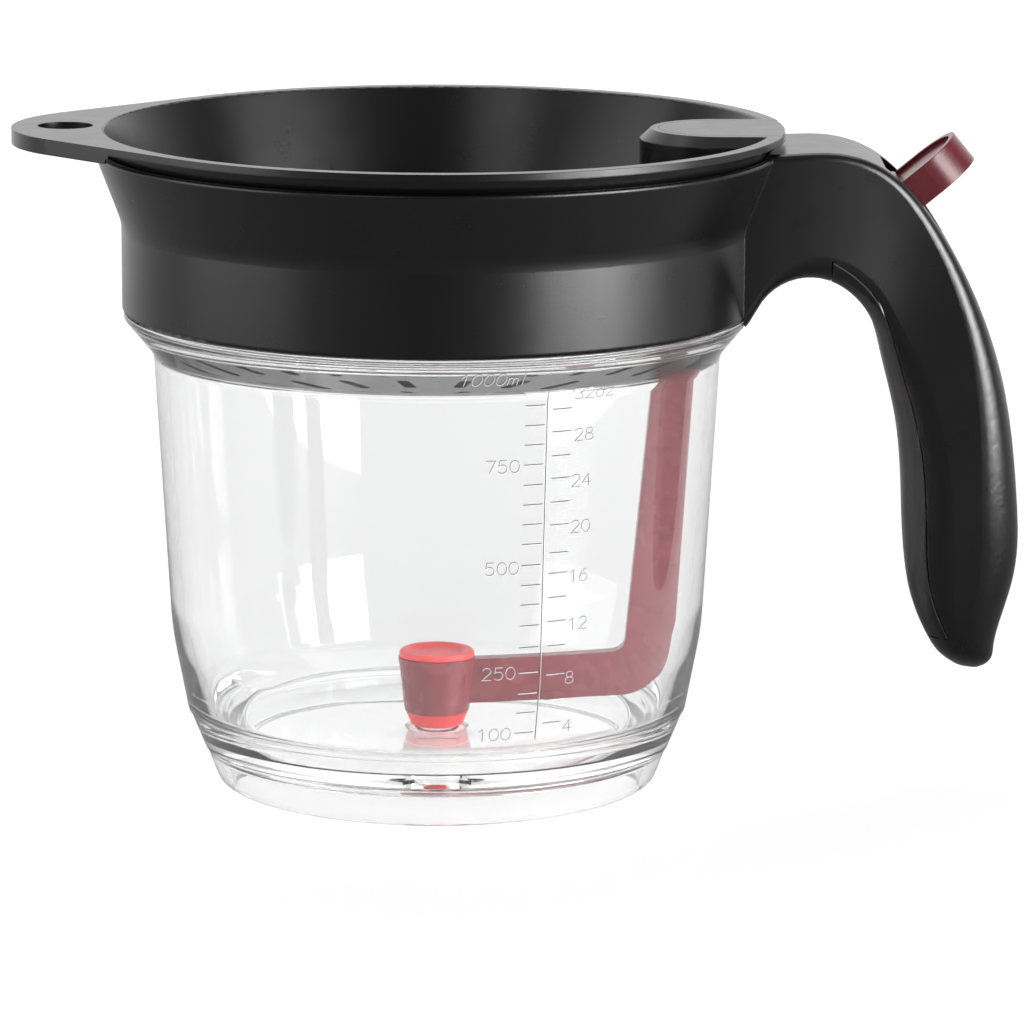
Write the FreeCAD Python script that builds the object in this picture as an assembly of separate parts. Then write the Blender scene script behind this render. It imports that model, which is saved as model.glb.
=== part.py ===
import FreeCAD, Part
import math
import os

# Bottom-release fat separator: a clear measuring cup under a black collar with an arched
# handle, a lift-out strainer, and a rocking lever that carries a silicone drain plug.
# Millimetres, +Z up. Each piece is modelled about the cup's axis, and every piece is then
# moved by one offset that puts the origin under the middle of the whole object.

V = FreeCAD.Vector
Y_AXIS = V(0, 1, 0)
Z_AXIS = V(0, 0, 1)

# Clearances
seat_gap = 0.15
running_gap = 0.3
slide_gap = 0.4
pin_gap = 0.05

# Cup
foot_inner_r = 44.3
foot_round = 2.4
foot_cone_r = 49.8
foot_cone_z = 2.8
foot_band_r = 51.4
foot_band_z = 7.3
band_step = 0.5
band_top_r = 55.2
band_top_z = 15.9
upper_step = 0.35
body_low_r = 58.9
body_low_z = 34.0
body_top_r = 62.5
shoulder_low_z = 96.4
shoulder_r = 69.0
shoulder_top_z = 104.3
ledge_z = 105.5
shoulder_fillet = 6.0
cup_wall = 2.5
neck_outer_r = 67.0
neck_wall = 2.3
neck_top_z = 123.0
neck_round = 0.8
bead_z = 114.0
bead_height = 0.5
bead_width = 3.0
inner_ledge_z = 103.4
inner_bend_z = 34.5
corner_r = 51.9
corner_z = 17.5
floor_z = 12.6
floor_r = 43.6
floor_thickness = 3.0
recess_top_r = 47.0
recess_round = 2.0

# Drain in the middle of the floor, which falls towards it
drain_r = 5.0
seat_r = 7.6
floor_fall = 3.25
nozzle_r = 6.9
nozzle_z = 2.6

# Collar
collar_r = 69.3
collar_foot_round = 1.0
collar_knee_z = 125.4
collar_knee_round = 9.0
collar_top_r = 75.2
collar_top_z = 141.0
collar_top_round = 0.7
collar_flare_wall = 1.8

# Strainer
flange_r = 76.3
flange_z = 145.5
flange_thickness = 1.4
bowl_wall = 1.6
bowl_low_r = 60.2
bowl_floor_z = 104.6
bowl_corner = 3.0
nose_r = 33.2
nose_x = -60.0
tab_thickness = 1.6
tab_rim = 1.6
tab_depth = 3.4
tab_rim_slope = 9.0
hang_hole_r = 6.1
hang_hole_x = -81.5
hood_tip_x = 44.3
hood_half_width = 17.6
hood_wall = 1.3
hood_roof = 2.4
bevel_run = 2.4
bevel_drop = 2.2
plate_margin = 1.7
plate_thickness = 1.2
slot_width = 2.6
slot_rings = ((17.0, 9.0, 12), (32.0, 11.0, 20), (48.5, 10.0, 30))

# Handle
handle_root_x = 60.0
bridge_half_width = 18.5
grip_half_width = 13.6
handle_wall = 2.2
slot_half_width = 10.3
seam_gap = 0.15

# Lever
pivot_x = 81.0
pivot_z = 128.5
pin_r = 2.0
hub_r = 5.0
hub_half_width = 8.0
arm_thickness = 4.6
beam_half_width = 5.0
beam_clearance = 1.1
beam_rise = 6.5
arm_width = 8.9
bar_height = 10.2
bar_top_z = 26.2
elbow_outer = 12.0
elbow_inner = 3.0
arm_top_x = 52.5
arm_foot_x = 46.6
paddle_width = 19.0
paddle_thickness = 7.2
paddle_angle = 39.5
paddle_reach = 14.6
paddle_root = 9.0
paddle_face_x = 101.8
paddle_face_z = 135.4
paddle_dish = 0.9
paddle_rim = 1.4

# Plug and its holder
holder_top_r = 8.7
holder_low_r = 7.3
holder_low_z = 12.8
holder_top_z = 26.2
plug_stem_r = 5.2
plug_cap_r = 8.4
plug_cap_height = 2.0
plug_cap_dish = 0.8
cone_low_r = 5.9
nub_r = 3.2
nub_low_r = 2.2
nub_depth = 1.7

# Return spring and its two seats, one on the grip cover and one under the lever
spring_x = 91.5
spring_r = 3.0
spring_wire = 0.7
spring_turns = 4
spring_low_z = 117.4
spring_high_z = 124.4
spring_seat_r = 4.2
spring_post_r = 1.9
spring_post_height = 2.4
seat_root_z = 113.0

seat_z = floor_z - floor_fall
flare_slope = (collar_top_r - collar_r) / (collar_top_z - collar_knee_z)
neck_inner_r = neck_outer_r - neck_wall
collar_bore_r = neck_outer_r + 0.2
flare_bore_r = collar_top_r - collar_flare_wall
flare_low_z = collar_top_z - (flare_bore_r - collar_bore_r) / flare_slope
sill_z = flare_low_z + 0.5


def rounded_outline(corners):
    """Closed wire in the XZ plane through (x, z, corner radius), with tangent arcs."""
    count = len(corners)
    edges = []
    last = None
    first = None
    for i in range(count):
        here = V(corners[i][0], 0, corners[i][1])
        before = V(corners[i - 1][0], 0, corners[i - 1][1])
        after = V(corners[(i + 1) % count][0], 0, corners[(i + 1) % count][1])
        radius = corners[i][2]
        enter = here
        leave = here
        if radius > 0:
            to_before = (before - here).normalize()
            to_after = (after - here).normalize()
            half = to_before.getAngle(to_after) / 2
            setback = radius / math.tan(half)
            enter = here + to_before * setback
            leave = here + to_after * setback
            middle = (to_before + to_after).normalize()
            centre = here + middle * (radius / math.sin(half))
            top = centre - middle * radius
        if last is not None and last.distanceToPoint(enter) > 1e-6:
            edges.append(Part.LineSegment(last, enter).toShape())
        if radius > 0:
            edges.append(Part.Arc(enter, top, leave).toShape())
        if first is None:
            first = enter
        last = leave
    if last.distanceToPoint(first) > 1e-6:
        edges.append(Part.LineSegment(last, first).toShape())
    return Part.Wire(edges)


def turned(corners):
    """Solid of revolution about the cup's axis."""
    return Part.Face(rounded_outline(corners)).revolve(V(0, 0, 0), Z_AXIS, 360)


def slab(corners, half_width):
    """Plate of the XZ outline, centred on the middle plane."""
    face = Part.Face(rounded_outline(corners))
    face.translate(V(0, -half_width, 0))
    return face.extrude(V(0, 2 * half_width, 0))


def stadium(tip_x, half_width, end_x, low_z, high_z):
    """Upright prism with one round end at tip_x and a square end at end_x."""
    centre_x = tip_x + half_width
    a = V(end_x, -half_width, low_z)
    b = V(centre_x, -half_width, low_z)
    c = V(tip_x, 0, low_z)
    d = V(centre_x, half_width, low_z)
    e = V(end_x, half_width, low_z)
    edges = [Part.LineSegment(a, b).toShape(), Part.Arc(b, c, d).toShape()]
    edges += [Part.LineSegment(d, e).toShape(), Part.LineSegment(e, a).toShape()]
    return Part.Face(Part.Wire(edges)).extrude(V(0, 0, high_z - low_z))


def spline_edge(points):
    curve = Part.BSplineCurve()
    curve.interpolate([V(x, 0, z) for x, z in points])
    return curve


def cup():
    wall_slope = (body_top_r - body_low_r) / (shoulder_low_z - body_low_z)
    bead_low = bead_z - bead_width / 2
    bead_high = bead_z + bead_width / 2
    ledge_r = body_top_r - cup_wall + wall_slope * (inner_ledge_z - shoulder_low_z)
    return turned([
        (drain_r + 0.2, nozzle_z, 0), (drain_r, seat_z, 0), (seat_r, seat_z, 0.6),
        (floor_r, floor_z, 4.0), (corner_r, corner_z, 4.0), (body_low_r - cup_wall, inner_bend_z, 60.0),
        (ledge_r, inner_ledge_z, 1.0), (neck_inner_r, inner_ledge_z + 0.6, 1.0),
        (neck_inner_r, neck_top_z, neck_round), (neck_outer_r, neck_top_z, neck_round),
        (neck_outer_r, bead_high, 0), (neck_outer_r + bead_height, bead_z, 0.4),
        (neck_outer_r, bead_low, 0), (neck_outer_r, ledge_z, 0), (shoulder_r, ledge_z, 0),
        (shoulder_r, shoulder_top_z, 0.8), (body_top_r, shoulder_low_z, shoulder_fillet),
        (body_low_r, body_low_z, 60.0), (band_top_r + upper_step, band_top_z + upper_step, 0),
        (band_top_r, band_top_z, 0), (foot_band_r + band_step, foot_band_z + band_step, 0),
        (foot_band_r, foot_band_z, 0), (foot_cone_r, foot_cone_z, 0),
        (foot_cone_r - 1.2, 0, foot_round * 0.7), (foot_inner_r, 0, 0.8),
        (recess_top_r, floor_z - floor_thickness, recess_round),
        (nozzle_r, seat_z - floor_thickness, 0.6), (nozzle_r, nozzle_z, 0.5)])


def collar_body():
    groove_r = neck_outer_r + bead_height + 0.2
    groove_low = bead_z - bead_width / 2 - 0.2
    groove_high = bead_z + bead_width / 2 + 0.2
    return turned([
        (collar_bore_r, ledge_z, 0), (collar_bore_r, groove_low, 0), (groove_r, bead_z - 0.4, 0),
        (groove_r, bead_z + 0.4, 0), (collar_bore_r, groove_high, 0),
        (collar_bore_r, flare_low_z, 4.0), (flare_bore_r, collar_top_z, 0.3),
        (collar_top_r, collar_top_z, collar_top_round), (collar_r, collar_knee_z, collar_knee_round),
        (collar_r, ledge_z, collar_foot_round)])


# Side view of the handle: back edge and inner edge, from the bridge to the grip's tip
back_edge = [(handle_root_x, 141.3), (72.0, 141.8), (80.0, 142.3), (87.4, 142.0), (94.8, 139.9),
             (100.6, 135.8), (107.8, 127.5), (115.8, 114.2), (122.8, 96.4), (127.2, 76.2),
             (128.4, 57.0), (127.3, 42.1), (124.0, 30.7)]
inner_edge = [(handle_root_x, 106.5), (69.0, 108.4), (76.0, 112.1), (84.3, 114.1), (91.2, 110.3),
              (97.1, 98.5), (101.9, 78.3), (103.5, 57.0), (105.4, 42.0), (109.0, 32.9)]
grip_tip = (118.3, 25.0)
seam_line = [(79.0, 122.0), (86.0, 118.5), (94.4, 111.9), (101.4, 95.0), (106.1, 77.9),
             (107.9, 58.0), (109.2, 44.0), (113.0, 34.0), (117.5, 26.0)]
seam_start_x = 86.0
seam_end_z = 33.0

# Side view of the slot in the handle's back
slot_outline = [(98.4, 145.0), (112.0, 145.0), (125.0, 121.5), (109.0, 121.5), (97.0, 133.0),
                (97.5, 137.0)]

# Stations along the handle: share of the back edge, share of the inner edge, half width,
# corner radius at the back and corner radius on the inside
handle_stations = [
    (0.00, 0.00, bridge_half_width + 0.5, 1.6, 3.0),
    (0.09, 0.10, bridge_half_width, 1.6, 4.0),
    (0.17, 0.22, bridge_half_width - 1.2, 1.6, 5.5),
    (0.25, 0.33, bridge_half_width - 3.0, 2.0, 7.5),
    (0.36, 0.44, grip_half_width + 0.2, 3.2, 9.5),
    (0.50, 0.56, grip_half_width, 5.5, 11.0),
    (0.64, 0.68, grip_half_width + 0.2, 8.0, 11.5),
    (0.78, 0.80, grip_half_width + 0.2, 9.0, 11.0),
    (0.90, 0.91, grip_half_width - 1.2, 8.5, 9.0),
    (1.00, 1.00, grip_half_width - 3.6, 6.5, 7.0),
]
# Stations of the rounded end: share of the way to the tip and share of the last section
tip_stations = [(0.42, 0.86), (0.74, 0.62), (0.93, 0.36)]


def along(curve, share):
    first, last = curve.FirstParameter, curve.LastParameter
    return curve.value(first + (last - first) * share)


def handle_section(back, inner, half_width, back_round, inner_round, inset):
    """Rounded rectangle across one station, with larger corners on the inside."""
    middle = (back + inner) * 0.5
    reach = back - inner
    h = reach.Length / 2 - inset
    w = half_width - inset
    out = reach.normalize()
    ro = min(max(back_round - inset, 0.5), 0.9 * h, 0.9 * w)
    ri = min(max(inner_round - inset, 0.5), 1.9 * h - ro, 0.95 * w)
    bow = 1 - math.sqrt(0.5)

    def at(across, deep):
        return middle + Y_AXIS * across + out * deep

    edges = [
        Part.LineSegment(at(ro - w, h), at(w - ro, h)),
        Part.Arc(at(w - ro, h), at(w - ro * bow, h - ro * bow), at(w, h - ro)),
        Part.LineSegment(at(w, h - ro), at(w, ri - h)),
        Part.Arc(at(w, ri - h), at(w - ri * bow, ri * bow - h), at(w - ri, -h)),
        Part.LineSegment(at(w - ri, -h), at(ri - w, -h)),
        Part.Arc(at(ri - w, -h), at(ri * bow - w, ri * bow - h), at(-w, ri - h)),
        Part.LineSegment(at(-w, ri - h), at(-w, h - ro)),
        Part.Arc(at(-w, h - ro), at(ro * bow - w, h - ro * bow), at(ro - w, h)),
    ]
    return Part.Wire([edge.toShape() for edge in edges])


def handle_body(inset, stations, tips):
    back = spline_edge(back_edge)
    inner = spline_edge(inner_edge)
    wires = []
    for back_share, inner_share, half_width, back_round, inner_round in stations:
        a = along(back, back_share)
        b = along(inner, inner_share)
        wires.append(handle_section(a, b, half_width, back_round, inner_round, inset))
    tip = V(grip_tip[0], 0, grip_tip[1])
    middle = (a + b) * 0.5
    for share, size in tips:
        shift = (tip - middle) * share
        half = (a - b) * (0.5 * size)
        wires.append(handle_section(middle + shift + half, middle + shift - half,
                                    half_width * size, back_round * size, inner_round * size, inset))
    return Part.makeLoft(wires, True, False)


def seam_tool(shift):
    """Block on the grip cover's side of the seam, grown by shift on every side."""
    curve = spline_edge([(x + shift, z) for x, z in seam_line])
    start = curve.value(curve.FirstParameter)
    end = curve.value(curve.LastParameter)
    far_x = handle_root_x
    corners = [end, V(far_x, 0, end.z), V(far_x, 0, start.z), start]
    edges = [curve.toShape()]
    for a, b in zip(corners, corners[1:]):
        edges.append(Part.LineSegment(a, b).toShape())
    face = Part.Face(Part.Wire(edges))
    face.translate(V(0, -handle_root_x, 0))
    block = face.extrude(V(0, 2 * handle_root_x, 0))
    corner = V(seam_start_x - shift, -handle_root_x, seam_end_z - shift)
    return block.common(Part.makeBox(handle_root_x, 2 * handle_root_x, flange_z, corner))


def cylinder(radius, length, x, y, z, axis):
    return Part.makeCylinder(radius, length, V(x, y, z), axis)


def bowl_envelope():
    """Everything inside the strainer's outer surface."""
    step_z = neck_top_z + seat_gap
    step_r = collar_bore_r + (step_z + 1.5 - flare_low_z) * flare_slope - slide_gap
    top_r = collar_bore_r + (flange_z - flange_thickness - flare_low_z) * flare_slope - slide_gap
    under = flange_z - flange_thickness
    return [(bowl_low_r, bowl_floor_z, bowl_corner), (neck_inner_r - slide_gap, step_z, 0),
            (step_r, step_z, 0.4), (step_r, step_z + 1.5, 0), (top_r, under, 0.5),
            (flange_r, under, 0.4), (flange_r, flange_z, 0.5)]


def bowl_shell():
    outer = bowl_envelope()
    step_z = outer[1][1] + 1.9
    inner = [(outer[4][0] - bowl_wall + 0.4, flange_z, 0.5), (outer[3][0] - bowl_wall, step_z, 0.5),
             (outer[1][0] - bowl_wall, step_z, 0.6),
             (outer[0][0] - bowl_wall, bowl_floor_z + bowl_wall, bowl_corner - 1.4)]
    return turned([(0, bowl_floor_z, 0)] + outer + inner + [(0, bowl_floor_z + bowl_wall, 0)])


def tab_plan(nose, ring, low, high):
    """Prism of the tab's outline: a nose circle joined to the flange circle by tangents."""
    turn = math.acos((ring - nose) / abs(nose_x))
    near = V(-ring * math.cos(turn), ring * math.sin(turn), low)
    far = V(nose_x - nose * math.cos(turn), nose * math.sin(turn), low)
    near_low = V(near.x, -near.y, low)
    far_low = V(far.x, -far.y, low)
    edges = [Part.LineSegment(near, far).toShape()]
    edges.append(Part.Arc(far, V(nose_x - nose, 0, low), far_low).toShape())
    edges.append(Part.LineSegment(far_low, near_low).toShape())
    edges.append(Part.Arc(near_low, V(ring, 0, low), near).toShape())
    return Part.Face(Part.Wire(edges)).extrude(V(0, 0, high - low))


def tab():
    """Hanging tab with a turned-down rim that tapers towards the nose."""
    under = flange_z - tab_thickness
    rim_low = flange_z - tab_depth
    plate = tab_plan(nose_r, flange_r, under, flange_z)
    rim = tab_plan(nose_r, flange_r, rim_low, flange_z)
    rim = rim.cut(tab_plan(nose_r - tab_rim, flange_r - tab_rim, rim_low - 1, under))
    slope = Part.makeBox(60, 200, 20, V(-70, -100, rim_low - 20))
    slope.rotate(V(-collar_top_r, 0, rim_low), Y_AXIS, -tab_rim_slope)
    keep = Part.makeBox(60, 200, 20, V(-60 - collar_r, -100, flange_z - 10))
    body = plate.fuse(rim.cut(slope).common(keep))
    around = cylinder(collar_top_r + running_gap, 20, 0, 0, flange_z - 20 - flange_thickness, Z_AXIS)
    well = cylinder(outer_bowl_r(), 40, 0, 0, flange_z - 30, Z_AXIS)
    return body.cut([around, well])


def outer_bowl_r():
    return bowl_envelope()[4][0] - 0.4


def hood_outer():
    low = stadium(hood_tip_x, hood_half_width, 90, bowl_floor_z, flange_z - bevel_drop)
    centre_x = hood_tip_x + hood_half_width
    cone = Part.makeCone(hood_half_width, hood_half_width - bevel_run, bevel_drop,
                         V(centre_x, 0, flange_z - bevel_drop), Z_AXIS)
    profile = [V(centre_x, -hood_half_width, flange_z - bevel_drop),
               V(centre_x, hood_half_width, flange_z - bevel_drop),
               V(centre_x, hood_half_width - bevel_run, flange_z),
               V(centre_x, bevel_run - hood_half_width, flange_z)]
    roof = Part.Face(Part.makePolygon(profile + profile[:1])).extrude(V(90 - centre_x, 0, 0))
    return low.fuse([cone, roof])


def strainer():
    outer = bowl_envelope()
    envelope = turned([(0, bowl_floor_z, 0)] + outer + [(0, flange_z, 0)])
    hood = hood_outer().common(envelope)
    body = bowl_shell().fuse([hood, tab()])
    tip = hood_tip_x + hood_wall
    inside = stadium(tip, hood_half_width - hood_wall, 74.0, bowl_floor_z - 5, flange_z - hood_roof)
    body = body.cut(inside)
    recess = plate_prism(0)
    body = body.cut(recess)
    hole = cylinder(hang_hole_r, 20, hang_hole_x, 0, flange_z - 10, Z_AXIS)
    body = body.cut([hole] + drain_slots())
    return body.removeSplitter()


def plate_prism(gap):
    half = hood_half_width - bevel_run - plate_margin
    tip = hood_tip_x + bevel_run + plate_margin
    low = flange_z - plate_thickness
    return stadium(tip + gap, half - gap, flange_r + 4, low, flange_z + (0 if gap else 1))


def tongue_plate():
    rim = cylinder(flange_r - running_gap, 20, 0, 0, flange_z - 10, Z_AXIS)
    plate = plate_prism(0.12)
    return plate.common(rim)


def drain_slots():
    """Radial slots through the strainer's floor, left out under the hood."""
    slots = []
    for ring_r, length, count in slot_rings:
        for i in range(count):
            angle = 360.0 * (i + 0.5) / count
            x = (ring_r + length) * math.cos(math.radians(angle))
            y = (ring_r + length) * math.sin(math.radians(angle))
            if x > hood_tip_x - 5 - length / 2 and abs(y) < hood_half_width + 5:
                continue
            slot = stadium(ring_r, slot_width / 2, ring_r + length - slot_width / 2,
                           bowl_floor_z - 1, bowl_floor_z + bowl_wall + 1)
            end = cylinder(slot_width / 2, bowl_wall + 2, ring_r + length - slot_width / 2, 0,
                           bowl_floor_z - 1, Z_AXIS)
            slot = slot.fuse(end)
            slot.rotate(V(0, 0, 0), Z_AXIS, angle)
            slots.append(slot)
    return slots


def collar_handle():
    solid = handle_body(0, handle_stations, tip_stations)
    inside = cylinder(collar_r - 0.8, flare_low_z + 2, 0, 0, 0, Z_AXIS)
    shoulder = cylinder(shoulder_r + running_gap, ledge_z, 0, 0, 0, Z_AXIS)
    flare = turned([(0, flare_low_z - 30, 0), (collar_bore_r, flare_low_z - 30, 0),
                    (collar_bore_r, flare_low_z, 4.0),
                    (collar_bore_r + (160 - flare_low_z) * flare_slope, 160, 0), (0, 160, 0)])
    solid = solid.cut([inside, shoulder, flare, seam_tool(seam_gap)])
    body = collar_body().fuse(solid)
    hollow = handle_body(handle_wall, handle_stations[:-1], [])
    below_flare = cylinder(collar_r - 0.1, sill_z, 0, 0, 0, Z_AXIS)
    hollow = hollow.cut(below_flare)
    body = body.cut([hollow, paddle_slot()])
    bosses = pin_bosses().common(handle_body(0.8, handle_stations[:6], []))
    body = body.fuse(bosses)
    return body.cut(pin_bore()).removeSplitter()


def paddle_slot():
    """Slot in the handle's back for the thumb paddle, with its travel below it."""
    return slab([(x, z, 0) for x, z in slot_outline], slot_half_width)


def pin_bosses():
    outer = cylinder(hub_r - 1.2, 80, pivot_x, -40, pivot_z, Y_AXIS)
    gap = cylinder(hub_r + 4, 2 * (hub_half_width + running_gap), pivot_x,
                   -hub_half_width - running_gap, pivot_z, Y_AXIS)
    return outer.cut(gap)


def pin_length():
    return 2 * (bridge_half_width - handle_wall - 0.6)


def pin_bore():
    length = pin_length() + 0.2
    return cylinder(pin_r, length, pivot_x, -length / 2, pivot_z, Y_AXIS)


def pivot_pin():
    length = pin_length()
    return cylinder(pin_r, length, pivot_x, -length / 2, pivot_z, Y_AXIS)


def grip_cover():
    """Insert on the grip's inner side, with the seat and post of the return spring."""
    solid = handle_body(0, handle_stations, tip_stations).common(seam_tool(-seam_gap))
    seat = cylinder(spring_seat_r, spring_low_z - seat_root_z, spring_x, 0, seat_root_z, Z_AXIS)
    post = cylinder(spring_post_r, spring_post_height, spring_x, 0, spring_low_z, Z_AXIS)
    return solid.fuse([seat, post]).removeSplitter()


def paddle():
    """Thumb paddle: a stadium plate with a raised rim round a dished face."""
    half = paddle_width / 2
    length = paddle_reach + paddle_root
    plate = stadium(-paddle_reach, half, paddle_root, -paddle_thickness, 0)
    floor = stadium(-paddle_reach + paddle_rim, half - paddle_rim, length, -paddle_dish, 1)
    plate = plate.cut(floor)
    plate.rotate(V(0, 0, 0), Z_AXIS, 180)
    plate.rotate(V(0, 0, 0), Y_AXIS, -paddle_angle)
    plate.translate(V(paddle_face_x, 0, paddle_face_z))
    return plate


def lever():
    beam_low = sill_z + beam_clearance
    beam_high = pivot_z + beam_rise
    half_arm = arm_width / 2
    corner_x = arm_foot_x + half_arm
    elbow_x = arm_foot_x - half_arm - 0.4
    bar_low = bar_top_z - bar_height
    arm = slab([
        (pivot_x, beam_high, 0), (arm_top_x - half_arm, beam_high, 6.0),
        (arm_top_x - half_arm + 0.5, 100.0, 20.0), (elbow_x, bar_top_z + 1.2, elbow_inner),
        (0, bar_top_z - 0.6, 0), (0, bar_low - 1.4, 0), (corner_x + 1.2, bar_low + 1.2, elbow_outer),
        (arm_top_x + half_arm, 92.0, 20.0), (arm_top_x + half_arm + 0.6, beam_low, 4.0),
        (pivot_x, beam_low, 0)], arm_thickness / 2)
    beam_start = arm_top_x + half_arm - 1.5
    beam = slab([
        (beam_start, beam_high, 3.0), (beam_start, beam_low, 3.0), (pivot_x - 6.0, beam_low, 2.0),
        (pivot_x + 3.0, spring_high_z, 0), (spring_x - spring_seat_r, spring_high_z, 0),
        (spring_x + spring_seat_r, spring_high_z, 1.0), (98.0, 127.5, 2.0), (104.5, 131.0, 1.0),
        (100.5, 135.5, 1.0), (94.0, 134.2, 3.0), (pivot_x + 3.0, beam_high, 3.0)], beam_half_width)
    hub = cylinder(hub_r, 2 * hub_half_width, pivot_x, -hub_half_width, pivot_z, Y_AXIS)
    holder = Part.makeCone(holder_low_r, holder_top_r, holder_top_z - holder_low_z,
                           V(0, 0, holder_low_z), Z_AXIS)
    inside = cylinder(plug_stem_r, 60, 0, 0, 0, Z_AXIS)
    body = arm.fuse([beam, hub, holder, paddle()])
    bore = cylinder(pin_r + pin_gap, 60, pivot_x, -30, pivot_z, Y_AXIS)
    below = Part.makeBox(40, 40, 20, V(-20, -20, holder_low_z - 20))
    above = cylinder(plug_cap_r + 3, 20, 0, 0, holder_top_z, Z_AXIS)
    return body.cut([inside, bore, below, above]).removeSplitter()


def plug():
    rest_z = seat_z + seat_gap
    cap_top = holder_top_z + plug_cap_height
    return turned([
        (0, rest_z - nub_depth, 0), (nub_low_r, rest_z - nub_depth, 0.5), (nub_r, rest_z, 0),
        (cone_low_r, rest_z, 0.4), (holder_low_r - 0.1, holder_low_z, 0),
        (plug_stem_r, holder_low_z, 0), (plug_stem_r, holder_top_z, 0),
        (plug_cap_r, holder_top_z, 0.5), (plug_cap_r, cap_top, 0.7),
        (plug_cap_r - 1.6, cap_top, 0.4), (plug_cap_r - 2.8, cap_top - plug_cap_dish, 1.0),
        (0, cap_top - plug_cap_dish, 0)])


def arc_between(start, corner, end):
    """Arc from start to end whose end tangents meet at corner."""
    before = (corner - start).normalize()
    after = (end - corner).normalize()
    half_turn = before.getAngle(after) / 2
    reach = start.distanceToPoint(corner)
    radius = reach / math.tan(half_turn)
    inward = ((start + end) * 0.5 - corner).normalize()
    top = corner + inward * (radius / math.cos(half_turn) - radius)
    return Part.Arc(start, top, end).toShape()


def coil_wire(radius, rise, turns, steps_per_turn=4):
    """Helix about +Z as smooth pairs of arcs, one pair to each step."""
    count = turns * steps_per_turn
    step = 2 * math.pi / steps_per_turn
    climb = rise / count
    edges = []
    for i in range(count):
        ends = []
        for k in (i, i + 1):
            a = k * step
            point = V(radius * math.cos(a), radius * math.sin(a), k * climb)
            tangent = V(-radius * math.sin(a), radius * math.cos(a), climb / step).normalize()
            ends.append((point, tangent))
        (p, t), (q, u) = ends
        chord = q - p
        both = t + u
        square = both.dot(both) - 4
        across = chord.dot(both)
        reach = (across - math.sqrt(across * across - square * chord.dot(chord))) / square
        if reach < 0:
            reach = (across + math.sqrt(across * across - square * chord.dot(chord))) / square
        first = p + t * reach
        second = q - u * reach
        joint = (first + second) * 0.5
        edges += [arc_between(p, first, joint), arc_between(joint, second, q)]
    return Part.Wire(edges)


def return_spring():
    """Compression spring between the grip cover's seat and the lever."""
    rise = spring_high_z - spring_low_z - 2 * seat_gap - spring_wire
    path = coil_wire(spring_r, rise, spring_turns)
    print("spring's least gap to itself", round(rise / spring_turns - spring_wire, 3))
    lead = V(0, spring_r, rise / (2 * math.pi * spring_turns))
    profile = Part.Wire([Part.makeCircle(spring_wire / 2, V(spring_r, 0, 0), lead)])
    coil = path.makePipeShell([profile], True, False)
    coil.translate(V(spring_x, 0, spring_low_z + seat_gap + spring_wire / 2))
    return coil


def export(shape, name):
    shape.translate(V(-middle_x, 0, 0))
    shape.exportStep("parts/" + name + ".step")


os.makedirs("parts", exist_ok=True)
collar_handle_shape = collar_handle()
middle_x = (collar_handle_shape.optimalBoundingBox(False).XMax + nose_x - nose_r) / 2
export(cup(), "cup")
export(collar_handle_shape, "collar_handle")
export(grip_cover(), "grip_cover")
export(pivot_pin(), "pivot_pin")
export(return_spring(), "return_spring")
export(lever(), "lever")
export(plug(), "plug")
export(strainer(), "strainer")
export(tongue_plate(), "tongue_plate")
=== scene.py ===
import math

import bpy
import bmesh
from mathutils import Matrix, Vector


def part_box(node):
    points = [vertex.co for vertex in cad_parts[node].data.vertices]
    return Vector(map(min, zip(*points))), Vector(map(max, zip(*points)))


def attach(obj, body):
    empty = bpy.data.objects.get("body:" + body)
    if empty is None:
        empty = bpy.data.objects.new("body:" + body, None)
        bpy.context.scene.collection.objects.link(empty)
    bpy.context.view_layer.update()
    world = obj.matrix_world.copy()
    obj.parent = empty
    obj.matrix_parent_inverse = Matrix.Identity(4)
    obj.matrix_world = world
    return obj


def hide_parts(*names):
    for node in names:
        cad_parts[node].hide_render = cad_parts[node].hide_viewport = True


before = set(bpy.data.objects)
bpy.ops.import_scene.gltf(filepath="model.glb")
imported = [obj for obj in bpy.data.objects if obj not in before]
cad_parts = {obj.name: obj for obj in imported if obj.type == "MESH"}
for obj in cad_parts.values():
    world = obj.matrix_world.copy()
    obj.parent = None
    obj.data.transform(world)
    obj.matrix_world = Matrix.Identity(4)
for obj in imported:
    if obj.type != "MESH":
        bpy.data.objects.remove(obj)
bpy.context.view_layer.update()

# A clear measuring cup under a black collar and handle, with a lift-out strainer and a maroon
# lever that carries a red silicone plug. The scene is in metres, in the frame of the packed
# model. Outlines, the scale and the seam are in millimetres from the cup's axis.

MM = 0.001
cup_low, cup_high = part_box("cup")
axis_x = (cup_low[0] + cup_high[0]) / 2

# Camera, placed from the cup's axis
camera_offset = Vector((16.66 * MM, -1157.0 * MM, 296.0 * MM))
camera_pitch = math.radians(11.555)
camera_roll = math.radians(0.217)
camera_lens = 186.8
camera_sensor = 36.0

# Seam between the handle and its grip insert, as (x, height)
seam_line_mm = ((79.0, 122.0), (86.0, 118.5), (94.4, 111.9), (101.4, 95.0), (106.1, 77.9),
                (107.9, 58.0), (109.2, 44.0), (113.0, 34.0), (117.5, 26.0))
seam_first_x = 86.3
seam_last_z = 33.3
strip_half_mm = 0.4
strip_reach_mm = 8.0

# Measuring scale, on the front of the cup. Heights are on the cup's wall, in millimetres.
scale_turn = math.radians(22.7)
scale_line_mm = (20.4, 96.9)
ml_ticks_mm = (94.3, 90.0, 85.8, 81.5, 77.1, 72.8, 68.5, 64.2, 59.6, 55.2, 50.9, 46.3, 41.5,
               36.1, 31.4, 26.8, 22.2)
oz_ticks_mm = (93.2, 88.3, 83.1, 78.2, 73.0, 68.0, 61.9, 57.4, 52.1, 46.8, 41.4, 35.2, 29.4, 24.0)
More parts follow.
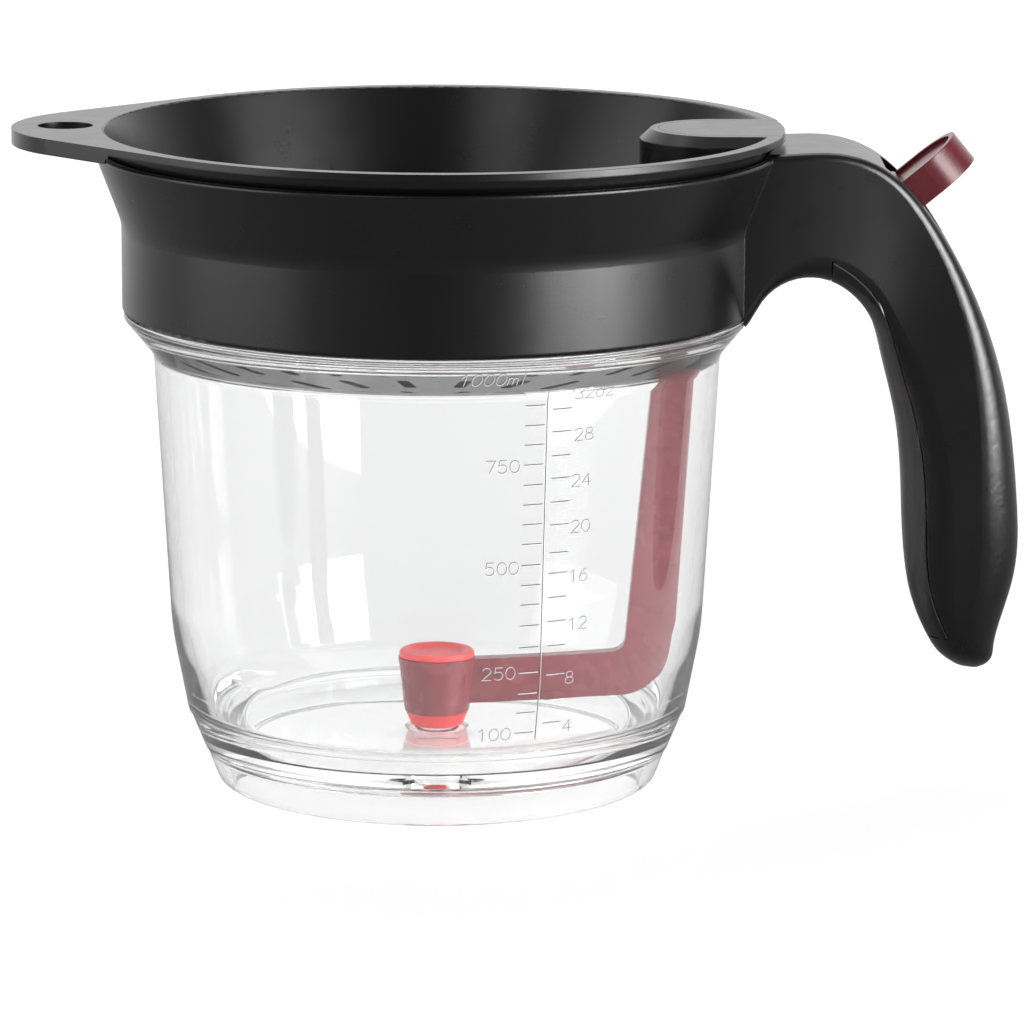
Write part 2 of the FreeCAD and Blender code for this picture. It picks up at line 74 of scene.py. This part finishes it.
# Labels: text, turn about the cup's axis in degrees, and height
ml_labels = (("1000ml", 4.6, 99.6), ("750", 10.4, 80.0), ("500", 10.5, 57.8), ("250", 10.0, 34.9),
             ("100", 9.5, 20.8))
oz_labels = (("32oz", 28.5, 95.0), ("28", 28.8, 85.9), ("24", 28.5, 75.9), ("20", 28.7, 65.8),
             ("16", 28.6, 55.0), ("12", 28.8, 44.4), ("8", 28.5, 32.8), ("4", 29.2, 21.4))
digit_height = 2.7
digit_width = 2.05
digit_gap = 0.55
tick_length = 4.3
tick_gap = 0.6
oz_shift = 0.8
line_radius = 0.1
label_radius = 0.075
# The light copy of the scale is a painted highlight: its drop below the dark copy, and its shift to
# the side as a share of that drop
painted_highlight_drop = 0.26
painted_highlight_side_share = 0.5

# Surface detail, in metres
edge_radius = 0.0004
wave_depth = 0.00002
fine_depth = 0.00001

# Backdrop: brightness for each kind of ray, and the ray directions over which it changes
ambient_level = 0.3
inside_level = 0.2
front_level, behind_level = 0.006, 1.5
behind_range = (0.1, 0.8)
above_level = 0.4
above_range = (0.35, 0.95)

# Floor: brightness near the object, seen through plastic and in gloss, and the distances in
# metres over which it changes
floor_near_level = 0.78
floor_near_range = (0.25, 1.2)
floor_through_share = 0.86
floor_front_level = 0.012
floor_behind_level = 0.9
floor_behind_range = (0.1, 0.9)
floor_beside_level = 0.3
floor_beside_range = (0.12, 0.7)

# Floor: its own grey, half its width and its drop below the foot
floor_tone = 0.33
floor_half_size = 12.0
floor_drop = 0.0001

# Lamps: name, place, width, height, watts, and whether it leaves dull surfaces unlit
lamp_target = (axis_x, 0, 0.08)
lamps = (("key", (-0.55, -1.0, 1.1), 0.5, 0.5, 1.6, False),
         ("right", (0.95, -0.40, 0.22), 0.6, 0.7, 9.0, False),
         ("sheen", (0.80, -0.62, 0.16), 0.6, 0.7, 18.0, True),
         ("left", (-1.0, -0.30, 0.30), 0.9, 0.7, 5.0, False),
         ("top", (0.0, 0.5, 1.2), 1.2, 0.6, 5.0, False))


def arc_outline(corners, step_deg=5.0):
    """Points of a closed (r, z) outline whose corners are rounded by tangent arcs."""
    points = []
    count = len(corners)
    for i, (x, z, radius) in enumerate(corners):
        here = Vector((x, z))
        if radius <= 0:
            points.append(here)
            continue
        before = (Vector(corners[i - 1][:2]) - here).normalized()
        after = (Vector(corners[(i + 1) % count][:2]) - here).normalized()
        half = before.angle(after) / 2
        centre = here + (before + after).normalized() * (radius / math.sin(half))
        enter = here + before * (radius / math.tan(half)) - centre
        leave = here + after * (radius / math.tan(half)) - centre
        turn = enter.angle_signed(leave)
        steps = max(3, round(abs(math.degrees(turn)) / step_deg))
        for k in range(steps + 1):
            points.append(centre + Matrix.Rotation(-turn * k / steps, 2) @ enter)
    return points


def new_object(name, data):
    """Object of a mesh, a lamp or a camera, linked to the scene."""
    piece = bpy.data.objects.new(name, data)
    bpy.context.scene.collection.objects.link(piece)
    return piece


def finished(name, mesh):
    """New object from an edited mesh, which is then let go."""
    data = bpy.data.meshes.new(name)
    mesh.to_mesh(data)
    mesh.free()
    return new_object(name, data)


def lathe(name, outline_mm, segments=256):
    """Closed ring of revolution about the cup's axis."""
    mesh = bmesh.new()
    rings = []
    for k in range(segments):
        a = 2 * math.pi * k / segments
        rings.append([mesh.verts.new((axis_x + r * MM * math.cos(a), r * MM * math.sin(a), z * MM))
                      for r, z in outline_mm])
    count = len(outline_mm)
    for k in range(segments):
        here, there = rings[k], rings[(k + 1) % segments]
        for i in range(count):
            j = (i + 1) % count
            mesh.faces.new((here[i], there[i], there[j], here[j]))
    bmesh.ops.recalc_face_normals(mesh, faces=mesh.faces)
    return finished(name, mesh)


def smooth(piece, angle_deg=32.0):
    """Smooth shading, with edges sharper than the angle kept crisp."""
    piece.data.polygons.foreach_set("use_smooth", [True] * len(piece.data.polygons))
    piece.data.set_sharp_from_angle(angle=math.radians(angle_deg))


# The cup's outline, as (radius, height, rounding of the corner): inside from the drain up, over
# the lip, down the outside to the foot, and back under the floor
foot_r, foot_z = 51.4, 7.3
band_r, band_z = 55.2, 15.9
neck_in_r, neck_out_r, neck_top = 64.7, 67.0, 123.0
ledge_r, ledge_z = 69.0, 105.5
seat_z = 9.35
foot_step = 0.5
band_step = 0.35
cup_outline = [
    (5.2, 2.6, 0), (5.0, seat_z, 0), (7.6, seat_z, 0.6), (43.6, 12.6, 4.0), (51.9, 17.5, 4.0),
    (56.4, 34.5, 60.0), (60.4, 103.4, 1.0), (neck_in_r, 104.0, 1.0), (neck_in_r, neck_top, 0.8),
    (neck_out_r, neck_top, 0.8), (neck_out_r, 115.5, 0), (67.5, 114.0, 0.4), (neck_out_r, 112.5, 0),
    (neck_out_r, ledge_z, 0.1), (ledge_r, ledge_z, 0.15), (ledge_r, 104.3, 0.8), (62.5, 96.4, 6.0),
    (58.9, 34.0, 60.0), (band_r + band_step, band_z + band_step, 0.12), (band_r, band_z, 0.12),
    (foot_r + foot_step, foot_z + foot_step, 0.15), (foot_r, foot_z, 0.15), (49.8, 2.8, 0.5),
    (48.6, 0, 1.68), (44.3, 0, 0.8), (47.0, 9.6, 2.0), (6.9, 6.35, 0.6), (6.9, 2.6, 0.5)]


def wall_radius(z):
    """Outer radius of the cup at a height, in millimetres."""
    reach = 0.0
    for (r0, z0), (r1, z1) in zip(outline, outline[1:] + outline[:1]):
        if z0 != z1 and min(z0, z1) <= z <= max(z0, z1):
            reach = max(reach, r0 + (r1 - r0) * (z - z0) / (z1 - z0))
    return reach


def spline_points(knots, steps=12):
    """Points of a smooth curve through the knots, whose slope at each follows its neighbours."""
    knots = [Vector(knot) for knot in knots]
    padded = [2 * knots[0] - knots[1]] + knots + [2 * knots[-1] - knots[-2]]
    points = []
    for a, b, c, d in zip(padded, padded[1:], padded[2:], padded[3:]):
        for k in range(steps):
            t = k / steps
            points.append(0.5 * (2 * b + (c - a) * t + (2 * a - 5 * b + 4 * c - d) * t * t
                                 + (3 * b - a - 3 * c + d) * t * t * t))
    return points + [knots[-1]]


def seam_strip():
    """Thin dark strip in the seam between the handle and its grip insert."""
    points = [p for p in spline_points(seam_line_mm) if p.x > seam_first_x and p.y > seam_last_z]
    mesh = bmesh.new()
    rows = []
    for point in points:
        row = []
        for x, y in ((-1, -1), (1, -1), (1, 1), (-1, 1)):
            row.append(mesh.verts.new((axis_x + (point.x + x * strip_half_mm) * MM,
                                       y * strip_reach_mm * MM, point.y * MM)))
        rows.append(row)
    for here, there in zip(rows, rows[1:]):
        for i in range(4):
            j = (i + 1) % 4
            mesh.faces.new((here[i], here[j], there[j], there[i]))
    mesh.faces.new(rows[0])
    mesh.faces.new(rows[-1])
    bmesh.ops.recalc_face_normals(mesh, faces=mesh.faces)
    piece = finished("seam_strip", mesh)
    smooth(piece, angle_deg=40.0)
    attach(piece, "vessel")
    return piece


def node_material(name):
    """New material, its node tree and its shader."""
    material = bpy.data.materials.new(name)
    material.use_nodes = True
    tree = material.node_tree
    shader = tree.nodes["Principled BSDF"]
    return material, tree, shader


def noise(tree, scale, detail, stretch=(1, 1, 1)):
    """Noise in object coordinates, with scale in features to the metre."""
    place = tree.nodes.new("ShaderNodeTexCoord")
    mapping = tree.nodes.new("ShaderNodeMapping")
    mapping.inputs["Scale"].default_value = stretch
    texture = tree.nodes.new("ShaderNodeTexNoise")
    texture.inputs["Scale"].default_value = scale
    texture.inputs["Detail"].default_value = detail
    texture.inputs["Roughness"].default_value = 0.55
    tree.links.new(place.outputs["Object"], mapping.inputs["Vector"])
    tree.links.new(mapping.outputs["Vector"], texture.inputs["Vector"])
    return texture.outputs["Fac"]


def remapped(tree, value, low, high, to_low, to_high):
    """The value's range low..high mapped to to_low..to_high and held there."""
    node = tree.nodes.new("ShaderNodeMapRange")
    node.inputs["From Min"].default_value = low
    node.inputs["From Max"].default_value = high
    node.inputs["To Min"].default_value = to_low
    node.inputs["To Max"].default_value = to_high
    tree.links.new(value, node.inputs["Value"])
    return node.outputs["Result"]


def spread(tree, value, low, high):
    """The middle range of a noise value mapped to low..high."""
    noise_low, noise_high = 0.3, 0.7
    return remapped(tree, value, noise_low, noise_high, low, high)


def blend_colour(tree, factor, dark, light):
    """Colour from dark to light by the factor."""
    mix = tree.nodes.new("ShaderNodeMix")
    mix.data_type = "RGBA"
    mix.inputs["A"].default_value = (*dark, 1)
    mix.inputs["B"].default_value = (*light, 1)
    tree.links.new(factor, mix.inputs["Factor"])
    return mix.outputs["Result"]


def soft_edge(tree, radius):
    """Shading normal with every edge rounded by the radius."""
    node = tree.nodes.new("ShaderNodeBevel")
    node.samples = 4
    node.inputs["Radius"].default_value = radius
    return node.outputs["Normal"]


def bump(tree, height, depth, before=None):
    """Shading normal with the height added to the normal before it."""
    node = tree.nodes.new("ShaderNodeBump")
    node.inputs["Distance"].default_value = depth
    node.inputs["Strength"].default_value = 1.0
    tree.links.new(height, node.inputs["Height"])
    if before is not None:
        tree.links.new(before, node.inputs["Normal"])
    return node.outputs["Normal"]


def combined(tree, operation, first, second):
    """One maths node on two values, each a socket or a number."""
    node = tree.nodes.new("ShaderNodeMath")
    node.operation = operation
    for socket, value in zip(node.inputs, (first, second)):
        if isinstance(value, (int, float)):
            socket.default_value = value
        else:
            tree.links.new(value, socket)
    return node.outputs["Value"]


def object_axes(tree, output="Object"):
    """The X, Y and Z sockets of a texture coordinate."""
    place = tree.nodes.new("ShaderNodeTexCoord")
    parts = tree.nodes.new("ShaderNodeSeparateXYZ")
    tree.links.new(place.outputs[output], parts.inputs["Vector"])
    return parts.outputs


def moulded_plastic(name, dark, light, rough_low, rough_high, grain, depth):
    """Moulded plastic: cloudy colour, uneven gloss, a fine tool grain and slow sink waves."""
    material, tree, shader = node_material(name)
    clouds = noise(tree, 45.0, 3.0)
    tree.links.new(blend_colour(tree, clouds, dark, light), shader.inputs["Base Color"])
    tree.links.new(spread(tree, noise(tree, 160.0, 5.0), rough_low, rough_high),
                   shader.inputs["Roughness"])
    waves = bump(tree, noise(tree, 28.0, 1.0), wave_depth, soft_edge(tree, edge_radius))
    tree.links.new(bump(tree, noise(tree, grain, 2.0), depth, waves), shader.inputs["Normal"])
    shader.inputs["IOR"].default_value = 1.5
    return material


def clear_plastic():
    """Clear plastic with a faint haze, light flow lines and a soft shadow."""
    material, tree, shader = node_material("clear_plastic")
    flow = noise(tree, 30.0, 2.0, stretch=(1, 1, 0.25))
    tree.links.new(blend_colour(tree, flow, (0.975, 0.98, 0.98), (0.995, 0.995, 0.995)),
                   shader.inputs["Base Color"])
    tree.links.new(spread(tree, noise(tree, 120.0, 4.0), 0.0, 0.02), shader.inputs["Roughness"])
    tree.links.new(bump(tree, flow, wave_depth), shader.inputs["Normal"])
    shader.inputs["Transmission Weight"].default_value = 0.97
    shader.inputs["IOR"].default_value = 1.49
    path = tree.nodes.new("ShaderNodeLightPath")
    clear = tree.nodes.new("ShaderNodeBsdfTransparent")
    clear.inputs["Color"].default_value = (0.93, 0.93, 0.93, 1)
    mix = tree.nodes.new("ShaderNodeMixShader")
    output = tree.nodes["Material Output"]
    tree.links.new(path.outputs["Is Shadow Ray"], mix.inputs["Fac"])
    tree.links.new(shader.outputs["BSDF"], mix.inputs[1])
    tree.links.new(clear.outputs["BSDF"], mix.inputs[2])
    tree.links.new(mix.outputs["Shader"], output.inputs["Surface"])
    return material


def silicone():
    """Soft red silicone with a fine matt skin."""
    material, tree, shader = node_material("red_silicone")
    clouds = noise(tree, 220.0, 3.0)
    tree.links.new(blend_colour(tree, clouds, (0.62, 0.035, 0.04), (0.78, 0.07, 0.075)),
                   shader.inputs["Base Color"])
    tree.links.new(spread(tree, noise(tree, 900.0, 3.0), 0.32, 0.48), shader.inputs["Roughness"])
    tree.links.new(bump(tree, noise(tree, 2600.0, 2.0), fine_depth), shader.inputs["Normal"])
    shader.inputs["Subsurface Weight"].default_value = 0.15
    shader.inputs["Subsurface Radius"].default_value = (0.002, 0.0006, 0.0005)
    shader.inputs["IOR"].default_value = 1.41
    return material


def steel():
    """Drawn steel with fine streaks along the Y axis."""
    material, tree, shader = node_material("drawn_steel")
    streaks = noise(tree, 400.0, 4.0, stretch=(1, 0.08, 1))
    tree.links.new(blend_colour(tree, streaks, (0.5, 0.5, 0.51), (0.72, 0.72, 0.73)),
                   shader.inputs["Base Color"])
    tree.links.new(spread(tree, streaks, 0.22, 0.4), shader.inputs["Roughness"])
    tree.links.new(bump(tree, streaks, fine_depth), shader.inputs["Normal"])
    shader.inputs["Metallic"].default_value = 1.0
    return material


def scale_material(name, dark, light, glow=0.0):
    """Fine raised lines, slightly uneven in tone; their colour is painted shade on a dark copy and
    painted highlight on a light copy, whose glow paints an edge that catches light.
    """
    material, tree, shader = node_material(name)
    tone = noise(tree, 700.0, 3.0)
    tree.links.new(blend_colour(tree, tone, dark, light), shader.inputs["Base Color"])
    tree.links.new(spread(tree, noise(tree, 2000.0, 2.0), 0.3, 0.5), shader.inputs["Roughness"])
    tree.links.new(bump(tree, tone, fine_depth), shader.inputs["Normal"])
    shader.inputs["Emission Color"].default_value = (1, 1, 1, 1)
    shader.inputs["Emission Strength"].default_value = glow
    return material


def dress(node, material):
    """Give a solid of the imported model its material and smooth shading."""
    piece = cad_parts[node]
    piece.data.materials.clear()
    piece.data.materials.append(material)
    smooth(piece)


def flat_line(points, radius):
    """Round line through flat (u, z) points, in millimetres."""
    curve = bpy.data.curves.new("line", "CURVE")
    curve.dimensions = "3D"
    spline = curve.splines.new("POLY")
    spline.points.add(len(points) - 1)
    for target, (u, z) in zip(spline.points, points):
        target.co = (u, z, 0, 1)
    curve.bevel_depth = radius
    curve.bevel_resolution = 1
    curve.use_fill_caps = True
    return curve


def arc(x, y, rx, ry, first_deg, last_deg, steps=14):
    """Points of an elliptical arc, in shares of a glyph's width and height."""
    points = []
    for k in range(steps + 1):
        a = math.radians(first_deg + (last_deg - first_deg) * k / steps)
        points.append((x + rx * math.cos(a), y + ry * math.sin(a)))
    return points


# Strokes of each glyph in the scale, in shares of its width and height
glyphs = {
    "0": [arc(0.5, 0.5, 0.5, 0.5, 90, 450, 24)],
    "1": [[(0.1, 0.74), (0.55, 1.0)], [(0.55, 1.0), (0.55, 0.0)]],
    "2": [arc(0.5, 0.72, 0.45, 0.28, 165, -30) + [(0.0, 0.0)], [(0.0, 0.0), (1.0, 0.0)]],
    "3": [arc(0.45, 0.75, 0.42, 0.25, 150, -90), arc(0.45, 0.26, 0.5, 0.26, 90, -150)],
    "4": [[(0.74, 0.0), (0.74, 1.0)], [(0.74, 1.0), (0.0, 0.3)], [(0.0, 0.3), (1.0, 0.3)]],
    "5": [[(0.9, 1.0), (0.16, 1.0)], [(0.16, 1.0), (0.1, 0.55)],
          arc(0.46, 0.33, 0.5, 0.33, 135, -145)],
    "6": [arc(0.5, 0.31, 0.46, 0.31, 0, 360, 20),
          [(0.04, 0.31), (0.1, 0.6), (0.34, 0.88), (0.8, 1.0)]],
    "7": [[(0.0, 1.0), (1.0, 1.0)], [(1.0, 1.0), (0.36, 0.0)]],
    "8": [arc(0.5, 0.76, 0.38, 0.24, 0, 360, 18), arc(0.5, 0.26, 0.48, 0.26, 0, 360, 20)],
    "m": [[(0.0, 0.0), (0.0, 0.66)], arc(0.25, 0.44, 0.25, 0.2, 180, 0) + [(0.5, 0.0)],
          arc(0.75, 0.44, 0.25, 0.2, 180, 0) + [(1.0, 0.0)]],
    "l": [[(0.3, 0.0), (0.3, 1.0)]],
    "o": [arc(0.5, 0.33, 0.45, 0.33, 0, 360, 18)],
    "z": [[(0.0, 0.66), (1.0, 0.66)], [(1.0, 0.66), (0.0, 0.0)], [(0.0, 0.0), (1.0, 0.0)]],
}


def label_lines(text, u, z):
    """Round lines of a label whose lower left corner is at (u, z), in millimetres."""
    lines = []
    for glyph in text:
        for stroke in glyphs[glyph]:
            points = [(u + x * digit_width, z + y * digit_height) for x, y in stroke]
            lines.append(flat_line(points, label_radius))
        u += digit_width + digit_gap
    return lines


def wrapped(name, curves, drop):
    """One mesh of all the flat lines, moved by the drop and wrapped on the cup's front."""
    mesh = bmesh.new()
    for data in curves:
        source = bpy.data.objects.new("flat", data)
        bpy.context.scene.collection.objects.link(source)
        bpy.context.view_layer.update()
        part = bpy.data.meshes.new_from_object(source.evaluated_get(
            bpy.context.evaluated_depsgraph_get()))
        part.transform(Matrix.Translation((drop * painted_highlight_side_share, -drop, 0)))
        mesh.from_mesh(part)
        bpy.data.objects.remove(source)
        bpy.data.meshes.remove(part)
    for vertex in mesh.verts:
        u, z, w = vertex.co
        r = wall_radius(z)
        turn = scale_turn + u / r
        r += w
        vertex.co = (axis_x + r * MM * math.sin(turn), -r * MM * math.cos(turn), z * MM)
    piece = finished(name, mesh)
    smooth(piece, angle_deg=60.0)
    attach(piece, "vessel")
    return piece


def stepped(low, high, step=1.0):
    """Even values from low to high, no further apart than the step."""
    count = max(1, math.ceil(abs(high - low) / step))
    return [low + (high - low) * k / count for k in range(count + 1)]


def measuring_scale():
    """Raised lines and numbers on the cup, each drawn twice: a dark copy of painted shade and,
    shifted down and aside, a light glowing copy of painted highlight.
    """
    parts = [flat_line([(0, z) for z in stepped(*scale_line_mm)], line_radius)]
    for z in ml_ticks_mm:
        parts.append(flat_line([(u, z) for u in stepped(-tick_gap - tick_length, -tick_gap)],
                               line_radius))
    for z in oz_ticks_mm:
        start = tick_gap + oz_shift
        parts.append(flat_line([(u, z) for u in stepped(start, start + tick_length)], line_radius))
    for text, turn_deg, z in ml_labels + oz_labels:
        u = (math.radians(turn_deg) - scale_turn) * wall_radius(z)
        parts += label_lines(text, u, z)
    # Dark copy in dark grey: painted shade on the shaded edge of each clear raised rib
    dark = wrapped("scale_lines_painted_shade", parts, 0.0)
    dark.data.materials.append(
        scale_material("scale_painted_shade", (0.07, 0.07, 0.07), (0.13, 0.13, 0.13)))
    # Light copy, shifted down and aside, with white colour and glow: a painted highlight on the lit
    # edge of each rib
    light = wrapped("scale_painted_highlights", parts, painted_highlight_drop)
    light.data.materials.append(
        scale_material("scale_painted_highlight", (0.8, 0.8, 0.8), (0.92, 0.92, 0.92), glow=0.5))


def studio_world():
    """White to the camera and through clear plastic; in gloss, bright behind and above."""
    world = bpy.data.worlds.new("studio")
    world.use_nodes = True
    tree = world.node_tree
    tree.nodes.clear()
    path = tree.nodes.new("ShaderNodeLightPath").outputs
    axes = object_axes(tree, "Generated")
    behind = remapped(tree, axes["Y"], *behind_range, front_level, behind_level)
    above = remapped(tree, axes["Z"], *above_range, 0.0, above_level)
    inside = remapped(tree, path["Transmission Depth"], 0.0, 1.0, 0.0, inside_level)
    gloss = combined(tree, "MAXIMUM", combined(tree, "MAXIMUM", behind, above), inside)
    gloss = combined(tree, "MULTIPLY", gloss, path["Is Glossy Ray"])
    shown = combined(tree, "MAXIMUM", path["Is Camera Ray"], path["Is Transmission Ray"])
    level = combined(tree, "MAXIMUM", combined(tree, "MAXIMUM", gloss, shown),
                     combined(tree, "MULTIPLY", path["Is Diffuse Ray"], ambient_level))
    background = tree.nodes.new("ShaderNodeBackground")
    output = tree.nodes.new("ShaderNodeOutputWorld")
    tree.links.new(level, background.inputs["Strength"])
    tree.links.new(background.outputs["Background"], output.inputs["Surface"])
    bpy.context.scene.world = world


def studio_floor():
    """Pale floor that shows white and keeps the object's shadow."""
    mesh = bmesh.new()
    bmesh.ops.create_grid(mesh, x_segments=1, y_segments=1, size=floor_half_size)
    floor = finished("floor", mesh)
    floor.location.z = -floor_drop
    material, tree, shader = node_material("pale_floor")
    shader.inputs["Base Color"].default_value = (floor_tone, floor_tone, floor_tone, 1)
    shader.inputs["Roughness"].default_value = 1.0
    shader.inputs["Specular IOR Level"].default_value = 0.0
    path = tree.nodes.new("ShaderNodeLightPath").outputs
    axes = object_axes(tree)
    distance = tree.nodes.new("ShaderNodeVectorMath")
    distance.operation = "LENGTH"
    tree.links.new(tree.nodes.new("ShaderNodeTexCoord").outputs["Object"], distance.inputs[0])
    backdrop = remapped(tree, distance.outputs["Value"], *floor_near_range, floor_near_level, 1.0)
    through = combined(tree, "MULTIPLY", path["Is Transmission Ray"], floor_through_share)
    shown = combined(tree, "MAXIMUM", path["Is Camera Ray"], through)
    shown = combined(tree, "MULTIPLY", shown, backdrop)
    behind = remapped(tree, axes["Y"], *floor_behind_range, floor_front_level, floor_behind_level)
    across = combined(tree, "ABSOLUTE", axes["X"], 0.0)
    beside = remapped(tree, across, *floor_beside_range, floor_front_level, floor_beside_level)
    inside = remapped(tree, path["Transmission Depth"], 0.0, 1.0, 0.0, inside_level)
    gloss = combined(tree, "MAXIMUM", combined(tree, "MAXIMUM", behind, beside), inside)
    gloss = combined(tree, "MULTIPLY", gloss, path["Is Glossy Ray"])
    glow = combined(tree, "MAXIMUM", shown, gloss)
    shader.inputs["Emission Color"].default_value = (1, 1, 1, 1)
    tree.links.new(glow, shader.inputs["Emission Strength"])
    floor.data.materials.append(material)


def lights():
    """Rectangular lamps that all face the middle of the object."""
    for name, place, width, height, power, gloss_only in lamps:
        lamp = bpy.data.lights.new(name, "AREA")
        lamp.shape = "RECTANGLE"
        lamp.size = width
        lamp.size_y = height
        lamp.energy = power
        piece = new_object(name, lamp)
        piece.visible_diffuse = not gloss_only
        piece.location = place
        facing = Vector(lamp_target) - Vector(place)
        piece.rotation_euler = facing.to_track_quat("-Z", "Y").to_euler()


def camera():
    """Camera in front of the cup, looking a little down."""
    data = bpy.data.cameras.new("camera")
    data.lens = camera_lens
    data.sensor_width = camera_sensor
    piece = new_object("camera", data)
    pitch = Matrix.Rotation(math.pi / 2 - camera_pitch, 4, "X")
    turn = pitch @ Matrix.Rotation(camera_roll, 4, "Z")
    piece.matrix_world = Matrix.Translation(Vector((axis_x, 0, 0)) + camera_offset) @ turn
    bpy.context.scene.camera = piece


outline = arc_outline(cup_outline)
clear_cup = lathe("clear_cup", outline)
smooth(clear_cup, angle_deg=30.0)
clear_cup.data.materials.append(clear_plastic())
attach(clear_cup, "vessel")
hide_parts("cup")
measuring_scale()

# Plastics: dark and light tone, roughness from and to, grain to the metre and grain depth
black = moulded_plastic("black_plastic", (0.0035, 0.0035, 0.0036), (0.005, 0.005, 0.0052),
                        0.27, 0.3, 2400.0, 0.000012)
grip_black = moulded_plastic("grip_plastic", (0.004, 0.004, 0.0041), (0.006, 0.006, 0.0062),
                             0.34, 0.42, 1800.0, 0.00002)
plate_black = moulded_plastic("plate_plastic", (0.005, 0.005, 0.0052), (0.007, 0.007, 0.0072),
                              0.27, 0.31, 2400.0, 0.000012)
maroon = moulded_plastic("maroon_plastic", (0.17, 0.02, 0.028), (0.2, 0.028, 0.036),
                         0.24, 0.3, 2600.0, 0.000006)
dress("collar_handle", black)
dress("strainer", black)
dress("tongue_plate", plate_black)
dress("grip_cover", grip_black)
seam_strip().data.materials.append(grip_black)
dress("lever", maroon)
dress("plug", silicone())
steel_material = steel()
dress("pivot_pin", steel_material)
dress("return_spring", steel_material)

studio_world()
studio_floor()
lights()
camera()
bpy.context.scene.view_settings.view_transform = "Standard"
